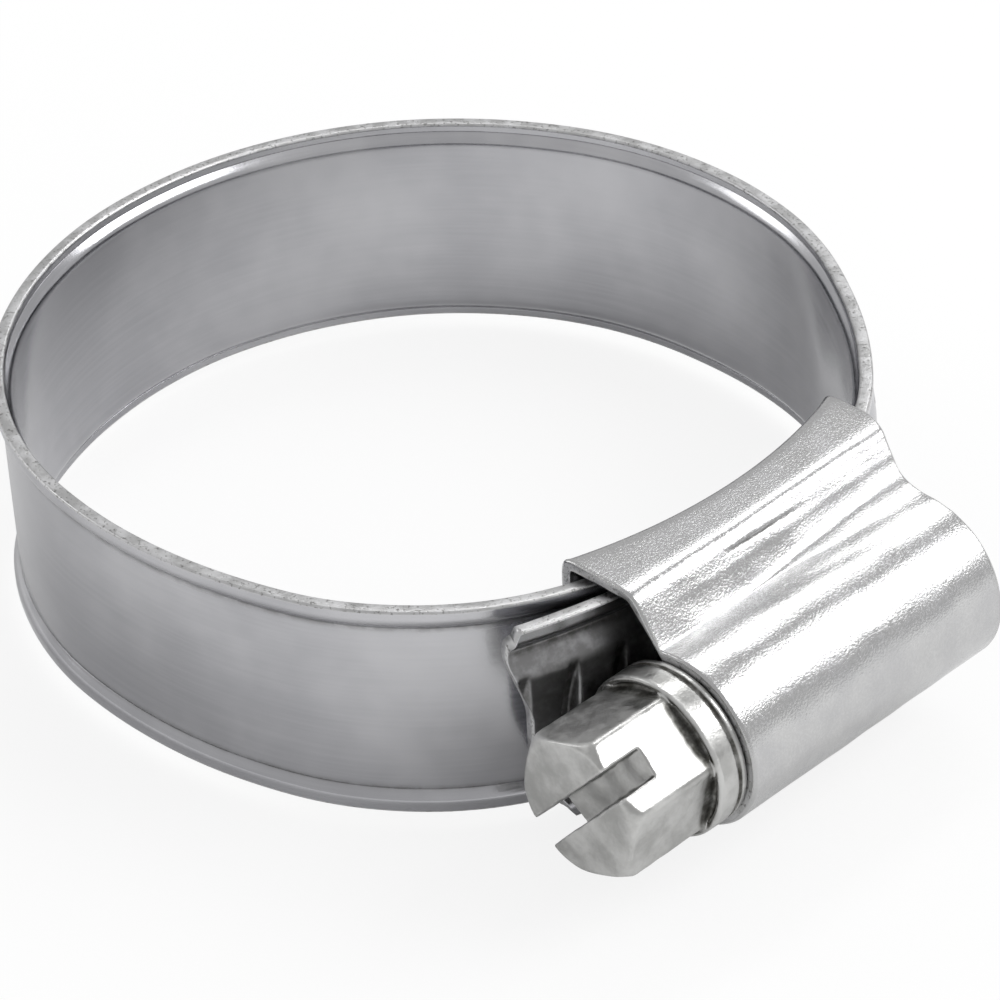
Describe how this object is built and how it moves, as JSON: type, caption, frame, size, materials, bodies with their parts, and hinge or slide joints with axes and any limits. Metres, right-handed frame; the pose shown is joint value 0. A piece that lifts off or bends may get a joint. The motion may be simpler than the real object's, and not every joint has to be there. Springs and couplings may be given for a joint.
{
  "type": "hose clamp",
  "caption": "Worm-drive hose clamp: raised-edge strip ring closed by a slotted hexagon worm screw in a pressed housing.",
  "frame": {"origin": "centre of the ring's bore, at half the strip's width", "axes": "+X towards the housing, +Y along the screw away from its head, +Z along the bore"},
  "size_m": [0.0544, 0.0448, 0.0138],
  "materials": {
    "strip": "satin zinc-plated strip",
    "housing": "bright zinc-plated pressed sheet",
    "screw": "zinc-plated turned steel"
  },
  "bodies": {
    "clamp": {"band": "strip", "housing": "housing"},
    "screw": {"worm_screw": "screw"},
    "tail": {"band_tail": "strip"}
  },
  "joints": [
    {"name": "screw_turn", "type": "hinge", "parent": "clamp", "child": "screw", "pos_m": [0.02743, 0, 0], "axis": [0, 1, 0], "range_deg": [0, 720]},
    {"name": "tail_feed", "type": "hinge", "parent": "clamp", "child": "tail", "pos_m": [-0.01885, -0.0012, 0], "axis": [0, 0, -1], "range_deg": [0, 7.16]}
  ],
  "couplings": [
    {"joint": "tail_feed", "follows": "screw_turn", "ratio": 0.0099403}
  ]
}
